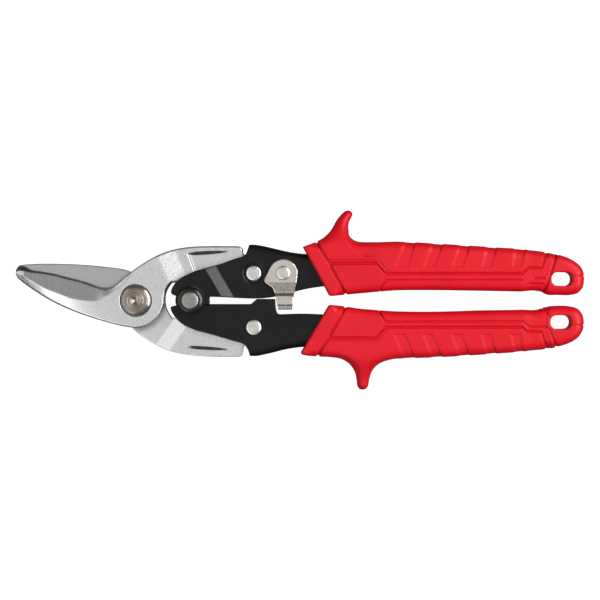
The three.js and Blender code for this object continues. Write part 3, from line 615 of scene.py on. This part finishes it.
# --------------------------------------------------------------------- frames
UPPER_SIDE = (
    finer([(15.7, 3.5), (16.2, 2.8), (16.9, 2.35), (18.3, 2.0), (20, 1.75), (24, 1.6)], 0.4)
    + finer([(33.1, 1.6), (61.9, 1.65), (64.5, 2.2), (71.9, 4.2), (77.3, 5.4), (83, 6.2), (100, 7.2)], 1.5) + [(140, 7.2), (172, 6.3), (172, 17.6), (140, 20.6)]
    + finer([(100, 20.6), (80, 20.5), (74.6, 20.8), (69, 21.5), (62.3, 23), (56.7, 24.3), (53.4, 24.85), (50.5, 24.9)], 1.0)
    + finer([(49.2, 21.0), (48.3, 20.15), (43.4, 18.35), (38.1, 16.4), (32.7, 14.8), (26.7, 13.1), (22.7, 11.35), (19.5, 9.5), (17.2, 7.2), (16.05, 5.2)], 0.7)
)
LOWER_SIDE = (
    finer([(15.4, -3.0), (16.4, -2.55), (17.9, -2.2), (21, -1.8), (24, -1.6)], 0.4) + [(33.1, -1.6), (51.2, -1.6), (53.9, 0.7), (62.05, 0.7)]
    + finer([(62.05, 0.7), (62.25, -2.5), (62.7, -4.9), (63.1, -5.7), (63.9, -6.1), (65.5, -6.1)], 0.4)[1:]
    + finer([(65.5, -6.1), (74.6, -5.9), (83, -6.2), (100, -7.2)], 1.5)[1:] + [(140, -7.2), (172, -6.3), (172, -17.6), (140, -20.6)]
    + finer([(100, -20.6), (80, -20.5), (74.2, -20.75), (68.4, -21.5), (58.5, -23.85), (53.4, -24.8), (50.8, -24.75)], 1.0)
    + finer([(50, -22.1), (48.6, -20), (42.7, -17.85), (33.6, -15.1), (26.3, -13.1), (19.9, -9.9), (17.4, -7.3), (15.9, -5)], 0.7)
)
WEB_OUT = [(49.0, 25.0), (53.4, 24.85), (56.7, 24.3), (62.3, 23), (69, 21.5), (74.6, 20.8), (80, 20.5), (100, 20.6), (140, 20.6), (172, 17.6), (180, 17.0)]
T_WEB = finer(WEB_OUT, 1.0)
EAR_LIFT = 2.35


def frame_side(x, y, z, side, ear_r, knuckle_r, lug):
    """x, y in the upper handle's layout; z > 0 is the plate with the raised ear."""
    sp = psdf(x, y, side)
    s = (x - B[0]) * 0.862 + (y - B[1]) * 0.506
    rb = rad(x, y, B)
    up = z > 0
    lift = np.where(up, EAR_LIFT * (1 - ramp(s, 12.7, 17.8)), 0.0)
    zz = z - lift
    front = np.minimum(sp, rb - ear_r)
    if lug:
        q = np.maximum(np.abs(x - 31.0) - 2.0, np.maximum(-1.8 - y, y - 2.2))
        front = np.minimum(front, q)
    d = np.where(up, front, np.minimum(sp, rb - knuckle_r))
    dish = 0.5 * (1 - ramp(rb, 5.7, 6.8)) * up
    rc = rad(x, y, UP)
    dish2 = 0.42 * (1 - ramp(rc, 4.1, 4.95)) * up
    outer = np.abs(zz) - (5.1 - np.maximum(dish, dish2))
    e = smax(d, outer, 0.42)
    yo = table(x, T_WEB)
    bend = np.where(x > 49.5, y - yo, -6.0)
    e = np.maximum(e, smax(bend, np.abs(zz) - 5.1, 3.4))
    w = np.maximum(50.6 - x, (yo - 2.2) - y)
    v = smax(np.abs(zz) - 2.9, -w, 1.0)
    f = smax(e, -v, 0.25)
    return f, rb, rc


def upper_frame(x, y, z):
    f, rb, rc = frame_side(x, y, z, UPPER_SIDE, 6.5, 6.2, True)
    f = smax(f, 2.8 - rb, 0.25)
    f = smax(f, 2.65 - rc, 0.25)
    return smax(f, 2.2 - rad(x, y, L), 0.25)


_LOW = [(p[0], -p[1]) for p in LOWER_SIDE]


def lower_frame(x, y, z):
    f, rb, rc = frame_side(x, -y, -z, _LOW, 6.5, 6.2, False)
    # tab bridging the channel over the latch catch
    tab = np.maximum(np.maximum(54.9 - x, x - 61.4), np.maximum(-1.5 - y, y - 0.62))
    tab = np.maximum(tab, np.abs(z) - 3.2)
    f = np.minimum(f, tab)
    f = smax(f, 2.8 - rb, 0.25)
    return smax(f, 2.65 - rc, 0.25)


# ---------------------------------------------------------------------- grips
UG = spline([(74.37, 23.84, 1), (79.06, 25.67), (83.7, 28.08), (87.09, 31.65), (89.06, 35.22), (90.98, 37.9), (92.3, 39.3), (93.79, 40.18), (94.9, 40.3), (95.9, 39.9), (96.64, 38.88), (96.4, 37.7), (95.13, 35.3), (94.68, 32.1), (95.13, 30.04), (96.69, 27.94), (99.01, 26.74), (101.82, 26.29), (117.67, 26.2), (133.74, 25.36), (148.92, 24.42), (162.31, 23.53), (175.7, 22.63), (182.4, 21.78), (187.98, 20.44), (192.44, 19.02), (196.0, 17.1), (198.45, 15.0), (199.75, 12.2), (199.95, 8.7), (199.1, 5.4), (197.2, 3.4), (194.23, 2.5), (188.0, 2.45), (183.51, 2.6), (181.9, 3.3), (180.39, 3.75), (170.26, 3.97), (148.92, 4.37), (126.38, 4.6), (115.66, 4.46), (107.18, 3.79), (96.02, 2.77), (87.32, 1.96, 1), (86.1, 2.23, 1)], 0.9)
LG = spline([(73.9, -24.1, 1), (73.45, -23.1, 1), (85.75, -2.35, 1), (86.5, -1.95, 1), (92, -2.46), (99.32, -3.57), (107.18, -4.24), (115.44, -4.82), (121.46, -4.96), (135.3, -4.96), (153.38, -4.42), (173.11, -4.06), (179.5, -3.75), (181.6, -2.95), (184.5, -2.6), (193.33, -2.63), (196.91, -3.6), (199.1, -6.1), (199.85, -9.64), (199.5, -12.77), (197.6, -16.0), (195.0, -18.0), (192.22, -19.3), (188.2, -20.53), (182.4, -21.92), (175.7, -22.59), (162.31, -23.57), (148.92, -24.51), (133.74, -25.36), (122.36, -25.8), (113.34, -26.38), (109.23, -27.72), (106.73, -29.51), (105.39, -31.25), (104.5, -33.39), (103.92, -35.98), (103.45, -38.4), (102.6, -39.5), (101.0, -39.9), (99.6, -39.6), (98.75, -38.5), (98.34, -35.53), (97.36, -31.52), (96.02, -29.37), (93.79, -27.27), (91.24, -26.0), (88.0, -25.4), (81.74, -25), (76.5, -24.6)], 0.9)


def slot_outline(cx, cy, hx, hy, r):
    pts = []
    for qx, qy, a0 in ((1, 1, 0), (-1, 1, 90), (-1, -1, 180), (1, -1, 270)):
        pts += arc((cx + qx * (hx - r), cy + qy * (hy - r)), r, 8, a0, a0 + 90)
    return np.array(pts)


SLOT_U = slot_outline(189.5, 9.55, 4.85, 3.2, 2.95)
SLOT_L = slot_outline(189.0, -9.65, 4.85, 3.2, 2.95)
for _o in (UG, LG):
    _o[:, 0] = np.where(_o[:, 0] > 190, 190 + (_o[:, 0] - 190) * 0.955, _o[:, 0])
CAVITY = [(70, 5.0), (83, 5.75), (100, 6.8), (140, 6.8), (172.6, 5.85), (172.6, 18.0), (140, 21.0), (100, 21.0), (80, 20.95), (70, 21.8)]

# grooves: line, half width at the bottom, half width at the rim, depth
U_GROOVES = [
    ([(80.2, 26.6), (93.6, 2.6)], 0.3, 0.8, 1.0),
    ([(86.2, 16.4), (92.0, 5.2)], 0.10, 0.55, 0.35),
    ([(85.3, 17.75), (107.6, 17.75), (112.1, 12.6)], 0.10, 0.50, 0.45),
    ([(85.9, 16.45), (107.0, 16.45), (111.2, 11.9), (171.6, 11.85), (174.2, 14.45), (179.7, 14.45)], 0.2, 0.7, 1.0),
    ([(109.2, 5.9), (111.3, 9.05), (171.6, 9.05)], 0.10, 0.55, 0.6),
    ([(109.2, 5.9), (108.6, 3.4)], 0.10, 0.60, 0.45),
    ([(182.6, 21.6), (180.2, 14.5)], 0.20, 0.70, 0.65),
    ([(186.9, 19.6), (182.0, 4.2)], 0.20, 0.65, 0.65),
    ([(177.0, 9.8), (181.6, 9.8)], 0.15, 0.55, 0.6),
    ([(174.8, 7.35), (181.0, 7.35)], 0.15, 0.55, 0.6),
    ([(194.2, 10.9), (200.5, 10.9)], 0.10, 0.50, 0.30),
]
L_GROOVES = [
    ([(93.6, -2.6), (80.6, -25.6)], 0.3, 0.8, 1.0),
    ([(92.0, -5.2), (86.2, -15.6)], 0.10, 0.55, 0.35),
    ([(85.4, -17.8), (107.4, -17.8), (111.6, -12.9)], 0.10, 0.50, 0.45),
    ([(85.4, -16.6), (106.9, -16.6), (110.9, -11.9), (171.5, -11.9), (173.7, -13.95), (179.5, -13.95)], 0.2, 0.7, 1.0),
    ([(108.7, -5.5), (110.8, -9.4), (171.9, -9.3), (174.6, -11.7), (182.8, -11.7)], 0.10, 0.55, 0.62),
    ([(108.7, -5.5), (108.4, -3.4)], 0.10, 0.60, 0.45),
    ([(180.1, -14.3), (183.0, -21.9)], 0.20, 0.70, 0.65),
    ([(183.6, -12.7), (187.2, -21.0)], 0.20, 0.65, 0.65),
    ([(181.0, -3.1), (184.4, -8.3)], 0.20, 0.60, 0.40),
    ([(193.8, -10.9), (200.5, -10.9)], 0.10, 0.50, 0.30),
]
U_PADS = [((119.3, 124.7), (115.0, 121.2)), ((131.7, 137.2), (127.7, 133.1)), ((144.1, 149.1), (140.4, 145.8)), ((156.2, 161.4), (153.7, 158.1)), ((168.8, 174.3), (167.1, 171.4))]
L_PADS = [((118.7, 124.2), (114.6, 119.8)), ((131.3, 136.4), (127.4, 132.1)), ((143.7, 149.0), (140.0, 144.8)), ((156.1, 161.1), (153.2, 157.9)), ((168.5, 173.2), (166.4, 171.1))]


def pads(x, y, spans, y_in, y_out, depth, bottom):
    """Slanted finger recesses between two parallel flanks, open to the outer side."""
    t = (y - y_in) / (y_out - y_in)
    out = 0.0
    for i, ((o0, o1), (i0, i1)) in enumerate(spans):
        a = i0 + (o0 - i0) * t
        b = i1 + (o1 - i1) * t
        w = ramp(x, a - 0.5, a + 1.0) * (1 - ramp(x, b - 0.6, b + 0.1)) * ramp(y, bottom, bottom + 0.7)
        # deeper at the lee flank, so the floor slopes
        floor = 0.55 + 0.45 * ramp(x, a, b)
        out = np.maximum(out, depth * w * floor)
    return out


def grooves(x, y, items):
    out = 0.0
    for line, a, b, dep in items:
        out = np.maximum(out, dep * (1 - ss(ldist(x, y, line), a, b)))
    return out


def u_relief(x, y):
    # x, y in the plane only
    g = grooves(x, y, U_GROOVES)
    g = np.maximum(g, pads(x, y, U_PADS, 15.0, 25.5, 0.48, 14.7))
    # collar and guard stand above the body behind the crease
    cr = (x - (95.6 + (23.7 - y) * np.where(y < 23.7, 1.08, -0.0) - np.where(y > 23.7, (y - 23.7) * 0.43, 0)))
    g = g + 0.9 * ss(cr, -0.3, 1.5) * (1 - ss(cr, 2.5, 11)) * ramp(y, 19.0, 20.6) * (1 - ramp(y, 29, 31))
    # two nicks across the outer rim behind the end piece
    for xn in (183.1, 187.9):
        g = np.maximum(g, 0.45 * (1 - ss(np.abs(x - xn), 0.15, 0.6)) * ramp(y, 18.6, 19.6))
    # body next to the end piece sits a little lower
    e = x - (182.0 + (y - 4.2) * 0.318)
    g = g + 0.35 * (1 - ramp(e, -0.2, 0.2)) * ramp(x, 172, 176)
    return g


def l_relief(x, y):
    g = grooves(x, y, L_GROOVES)
    g = np.maximum(g, pads(x, -y, L_PADS, 15.0, 24.7, 0.48, 14.6))
    for xn in (183.2, 187.6):
        g = np.maximum(g, 0.45 * (1 - ss(np.abs(x - xn), 0.15, 0.6)) * ramp(-y, 18.6, 19.6))
    e = x - (182.5 + np.abs(y + 10) * 0.2)
    g = g + 0.35 * (1 - ramp(e, -0.2, 0.2)) * ramp(x, 172, 176)
    return g


def edge_band(x, y, a, b, w):
    """1 at the line a-b, 0 beyond w."""
    return 1 - ss(ldist(x, y, [a, b]), w * 0.4, w)


def grip(x, y, z, out, slot, relief, sy, mouth):
    d = psdf(x, y, out)
    h = 9.5 - 0.0030 * (np.abs(y) - 13.5) ** 2
    v = np.abs(y)
    h = h - 4.1 * ss(v, 23.5, 37.5) * (1 - ss(x, 103, 112))
    k = 4.8 - 2.9 * edge_band(x, y, mouth[0], mouth[1], 5.0) - 0.6 * ss(v, 27, 36)
    s = smax(d, np.abs(z) - h, k)
    r = relief(x, y)
    side = ss(np.abs(z), 1.5, 5.5)
    s = s + r * (0.6 + 0.4 * side)
    sl = psdf(x, y, slot)
    s = smax(s, -sl - 0.12, 0.8)
    cav = np.maximum(psdf(x, y * sy, CAVITY), np.abs(z) - 5.35)
    return smax(s, -cav, 0.5)


def upper_grip(x, y, z):
    return grip(x, y, z, UG, SLOT_U, u_relief, 1, ((74.37, 23.84), (86.2, 2.23)))


def lower_grip(x, y, z):
    return grip(x, y, z, LG, SLOT_L, l_relief, -1, ((73.5, -23.2), (85.5, -2.4)))


# ---------------------------------------------------------------------- latch
LATCH = spline([(65.6, 18.55), (67.75, 18.2), (69.75, 17.05), (71.4, 15.2), (72.2, 13.2), (72.15, 10.9), (71.65, 8), (70.75, 4.2), (70.1, 1.1), (69.8, -1.8), (69.5, -4.1, 1), (63.3, -4.1, 1), (62.95, -2.05), (62.3, 1.5), (61.55, 3.8), (60.9, 5.35), (59.2, 6.7), (57.6, 7.95), (57.05, 8.8), (57.4, 9.9), (58.3, 11.7), (59.15, 13.5), (60.4, 15.6), (61.9, 17.2), (63.7, 18.2)], 0.4)
LATCH_SIDE = spline([(19.5, 7.9, 1), (8.2, 7.9), (7.75, 7.83), (7.3, 7.73), (5.4, 7.32), (3.6, 6.94), (3.3, 6.86, 1), (1.8, 5.9, 1), (1.4, 5.9), (0.8, 5.96), (-0.6, 6.06), (-1.6, 6.08), (-1.9, 6.0), (-2.25, 5.68), (-2.55, 5.54), (-3.0, 5.46), (-3.6, 5.3), (-4.25, 4.8), (-4.6, 4.1), (-4.6, -1.2, 1), (-3.1, -1.2, 1), (-3.1, 3.8), (-2.9, 4.45), (-2.2, 5.0), (-1.4, 5.26), (1.6, 5.3), (2.6, 5.38), (3.7, 5.6), (5.4, 5.95), (7.6, 6.28), (8.4, 6.3), (19.5, 6.3, 1)], 0.3)


def latch(x, y, z):
    d = psdf(x, y, LATCH)
    p = psdf(y, z, LATCH_SIDE)
    f = smax(d, p, 0.35)
    # pressed bevel round the head
    head = ss(y, 6.9, 8.4)
    bev = z - (7.9 - 0.36 * (1 - ramp(-d, 0.0, 0.5)))
    f = np.maximum(f, np.where(head > 0, bev * 0.9 - (1 - head) * 3, -9.0))
    return smax(f, 2.25 - rad(x, y, L), 0.2)


# --------------------------------------------------------------------- nut
def nut(x, y, z):
    d = -99.0
    for k in range(6):
        a = math.radians(60 * k)
        d = np.maximum(d, x * math.cos(a) + y * math.sin(a) - 6.495)
    r = rad(x, y, A)
    f = smax(d, np.maximum(-9.5 - z, z + 6.0), 0.25)
    f = np.maximum(f, (r - 7.35 - (z + 9.5)) * 0.707)
    f = np.maximum(f, (r - 7.35 - (-6.0 - z)) * 0.707)
    f = smax(f, 4.25 - r, 0.2)
    return np.maximum(f, (4.9 - r - (z + 9.5)) * 0.707)


def spring(name):
    pts = []
    r, leg, p = 5.25, 13.0, 1.85
    cx, cy = B
    n_arc = 130
    for i in range(9):
        pts.append((cx + leg * (1 - i / 9), cy + r, -p))
    for i in range(n_arc + 1):
        u = i / n_arc
        a = math.pi / 2 + u * 3 * math.pi
        pts.append((cx + r * math.cos(a), cy + r * math.sin(a), -p + 2 * p * u))
    for i in range(1, 10):
        pts.append((cx + leg * i / 9, cy - r, p))
    P = np.array(pts)
    T = np.gradient(P, axis=0)
    T /= np.linalg.norm(T, axis=1, keepdims=True)
    verts, faces, m, wr = [], [], 20, 0.85
    for i in range(len(P)):
        zc = np.array([0, 0, 1.0])
        nrm = np.cross(zc, T[i])
        nrm /= np.linalg.norm(nrm)
        bn = np.cross(T[i], nrm)
        w = wr * (0.8 if i in (0, len(P) - 1) else 1.0)
        for k in range(m):
            a = 2 * math.pi * k / m
            verts.append(P[i] + w * (math.cos(a) * nrm + math.sin(a) * bn))
    for i in range(len(P) - 1):
        for k in range(m):
            k2 = (k + 1) % m
            faces.append((i * m + k, i * m + k2, (i + 1) * m + k2, (i + 1) * m + k))
    n0 = len(verts)
    verts += [P[0], P[-1]]
    for k in range(m):
        k2 = (k + 1) % m
        faces.append((n0, k2, k))
        faces.append((n0 + 1, (len(P) - 1) * m + k, (len(P) - 1) * m + k2))
    me = bpy.data.meshes.new(name)
    me.from_pydata([tuple(v) for v in W(np.array(verts))], [], faces)
    me.update()
    me.polygons.foreach_set("use_smooth", np.ones(len(me.polygons), dtype=bool))
    ob = bpy.data.objects.new(name, me)
    bpy.context.scene.collection.objects.link(ob)
    return ob


# -------------------------------------------------------------------- assembly
# the "scale" mask holds forging scale in the grooves plus painted shade on the tip facet and a painted contact shadow
# round the pivot
dress(sculpt("lower_jaw_blade_forged", front_blade, (-54, -12.8, -2.8), (59.6, 24.6, 5.0), 0.32, masks={"ground": front_ground, "scale": scale_and_painted_shade}), "blade_steel", "front_blade", "lower_jaw_blade")
dress(sculpt("upper_jaw_blade_forged", rear_blade, (-54, -25.3, -5.0), (59.6, 16.5, 2.8), 0.32, masks={"ground": rear_ground, "scale": scale_and_painted_shade}), "blade_steel", "rear_blade", "upper_jaw_blade")
dress(sculpt("upper_handle_channel", upper_frame, (15.4, -6.6, -5.2), (172.4, 25.2, 7.6), 0.36, keep=0.55), "frame_black", "upper_handle", "upper_handle_frame")
dress(sculpt("lower_handle_channel", lower_frame, (15.2, -25.2, -7.6), (172.4, 6.6, 5.2), 0.36, keep=0.55), "frame_black", "lower_handle", "lower_handle_frame")
dress(sculpt("upper_grip_moulding", upper_grip, (73.5, 1.7, -9.6), (200.2, 40.6, 9.6), 0.36, keep=0.6), "grip_red", "upper_handle", "upper_grip")
dress(sculpt("lower_grip_moulding", lower_grip, (73.0, -40.2, -9.6), (200.2, -1.6, 9.6), 0.36, keep=0.6), "grip_red", "lower_handle", "lower_grip")
dress(sculpt("latch_lever_pressed", latch, (56.8, -4.8, -1.4), (72.5, 18.8, 8.1), 0.18), "latch_nickel", "latch", "latch_lever")
dress(sculpt("jaw_pivot_nut_hex", nut, (-7.6, -7.6, -9.6), (7.6, 7.6, -5.9), 0.2), "nut_steel", "front_blade", "jaw_pivot_nut", slot_name="bolt_steel")

dress(turned("jaw_pivot_bolt_turned", A, softened([
    (0, -9.35), (3.6, -9.35), (4.0, -8.95), (4.0, 3.3), (6.62, 3.3), (6.62, 4.92), (6.42, 5.10), (5.30, 5.70), (5.18, 5.64), (5.02, 5.64), (4.92, 5.72), (3.80, 5.72), (3.66, 5.62), (3.50, 5.62), (3.36, 5.73),
    (2.60, 5.73), (2.46, 5.62), (2.38, 5.62), (2.26, 5.73), (1.30, 5.33), (0.30, 4.92), (0, 4.90)], 0.08, 2), n=144),
    "bolt_steel", "front_blade", "jaw_pivot_bolt")
dress(turned("jaw_pivot_washer_turned", A, softened([(4.3, -4.9), (8.6, -4.9), (8.6, -5.9), (4.3, -5.9)], 0.2, 3, closed=True), closed=True),
      "bolt_steel", "front_blade", "jaw_pivot_washer")


def rivet(name, c, shank, head, base, rise, key, body, node, edge=0.55):
    prof = [(0, -base - rise), (head * 0.3, -base - rise * 0.99), (head * 0.55, -base - rise * 0.965), (head * 0.74, -base - rise * 0.90), (head * 0.88, -base - rise * 0.76), (head * 0.96, -base - rise * edge), (head, -base - rise * 0.25), (head, -base), (shank, -base)]
    prof = prof + [(r, -z) for r, z in prof[::-1]]
    return dress(turned(name, c, softened(prof, 0.18, 3)), key, body, node, slot_name="rivet_steel")


rivet("handle_pivot_rivet_headed", B, 2.6, 3.95, 8.15, 1.2, "pivot_rivet_steel", "upper_handle", "handle_pivot_rivet")
rivet("upper_tang_rivet_headed", C, 2.5, 3.55, 5.18, 1.25, "rivet_steel", "upper_handle", "upper_tang_rivet")
rivet("lower_tang_rivet_headed", D, 2.5, 3.55, 5.18, 1.25, "rivet_steel", "lower_handle", "lower_tang_rivet")
for nm, s, node in (("handle_pivot_washer_front_coned", 1, "handle_pivot_washer_front"), ("handle_pivot_washer_rear_coned", -1, "handle_pivot_washer_rear")):
    prof = [(2.85, 7.03), (5.6, 7.03), (5.6, 7.42), (5.5, 7.54), (4.55, 7.97), (4.3, 8.05), (2.85, 8.05)]
    dress(turned(nm, B, softened([(r, s * z) for r, z in prof], 0.06, 2, closed=True), closed=True), "washer_black", "upper_handle", node)
dress(turned("handle_pivot_sleeve_turned", B, softened([(2.85, -2.8), (3.9, -2.8), (3.9, 2.8), (2.85, 2.8)], 0.15, 2, closed=True), closed=True), "rivet_steel", "upper_handle", "handle_pivot_sleeve")
dress(turned("latch_rivet_headed", L, softened([(0, -6.3), (2.3, -6.15), (3.0, -5.75), (3.1, -5.18), (2.0, -5.18), (2.0, 8.0), (3.2, 8.0), (3.2, 8.3), (3.08, 8.55), (2.8, 8.77), (2.35, 8.92), (1.7, 9.04), (0.9, 9.11), (0, 9.13)], 0.2, 3)), "rivet_steel", "upper_handle", "latch_rivet")
dress(turned("latch_spring_washer_turned", L, softened([(2.3, 5.2), (4.3, 5.2), (4.3, 6.2), (2.3, 6.2)], 0.15, 2, closed=True), closed=True), "spring_steel", "upper_handle", "latch_spring_washer", slot_name="spring_steel")

sp = spring("return_spring_wound")
dress(sp, "spring_steel", None, "return_spring")
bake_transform(sp)

# ----------------------------------------------------------------------- stage
bpy.context.scene.view_settings.view_transform = "Standard"
fm = bpy.data.materials.new("studio_floor")
fm.use_nodes = True
fb = fm.node_tree.nodes["Principled BSDF"]
fb.inputs["Base Color"].default_value = (0.22, 0.22, 0.22, 1)
fb.inputs["Emission Color"].default_value = (1, 1, 1, 1)
fb.inputs["Emission Strength"].default_value = 0.96
fb.inputs["Roughness"].default_value = 0.9
fb.inputs["Specular IOR Level"].default_value = 0.1
bpy.ops.mesh.primitive_plane_add(size=6, location=(0, 0, -0.0002))
floor = bpy.context.object
floor.name = "studio_floor"
floor.data.materials.append(fm)
floor.visible_glossy = False
floor.visible_diffuse = False

world = bpy.data.worlds.new("studio")
bpy.context.scene.world = world
world.use_nodes = True
world.node_tree.nodes["Background"].inputs["Color"].default_value = (1, 1, 1, 1)
world.node_tree.nodes["Background"].inputs["Strength"].default_value = 0.12


def soft(name, az, el, dist, w, h, radiance, aim=(0, 0, 0)):
    """Rectangular softbox seen from the object at azimuth az (0 = +X) and elevation el."""
    la = bpy.data.lights.new(name, "AREA")
    la.shape = "RECTANGLE"
    la.size, la.size_y = w, h
    la.energy = radiance * math.pi * w * h
    ob = bpy.data.objects.new(name, la)
    bpy.context.scene.collection.objects.link(ob)
    a, e = math.radians(az), math.radians(el)
    p = Vector((dist * math.cos(e) * math.cos(a), dist * math.cos(e) * math.sin(a), dist * math.sin(e)))
    ob.location = p + Vector(aim)
    ob.rotation_euler = (Vector(aim) - ob.location).to_track_quat("-Z", "Y").to_euler()
    return ob


soft("box_right", 14, 41, 1.5, 1.7, 0.5, 10.8)
soft("box_left", 166, 44, 1.5, 1.7, 0.9, 1.4)
soft("box_top", 90, 89.9, 2.4, 2.0, 1.5, 0.74)
soft("fill_far", 90, 58, 1.6, 1.6, 0.5, 0.45)
soft("box_left_near", -128, 50, 1.5, 0.9, 0.7, 2.2)
soft("fill_near", -90, 52, 1.6, 1.6, 0.55, 0.36)

cam = bpy.data.cameras.new("camera")
cam.sensor_width = 36
cam.lens = 201.6
co = bpy.data.objects.new("camera", cam)
bpy.context.scene.collection.objects.link(co)
co.location = (0, 0, 1.5095)
co.rotation_euler = (0, 0, 0)
cam.clip_start, cam.clip_end = 0.05, 20
bpy.context.scene.camera = co

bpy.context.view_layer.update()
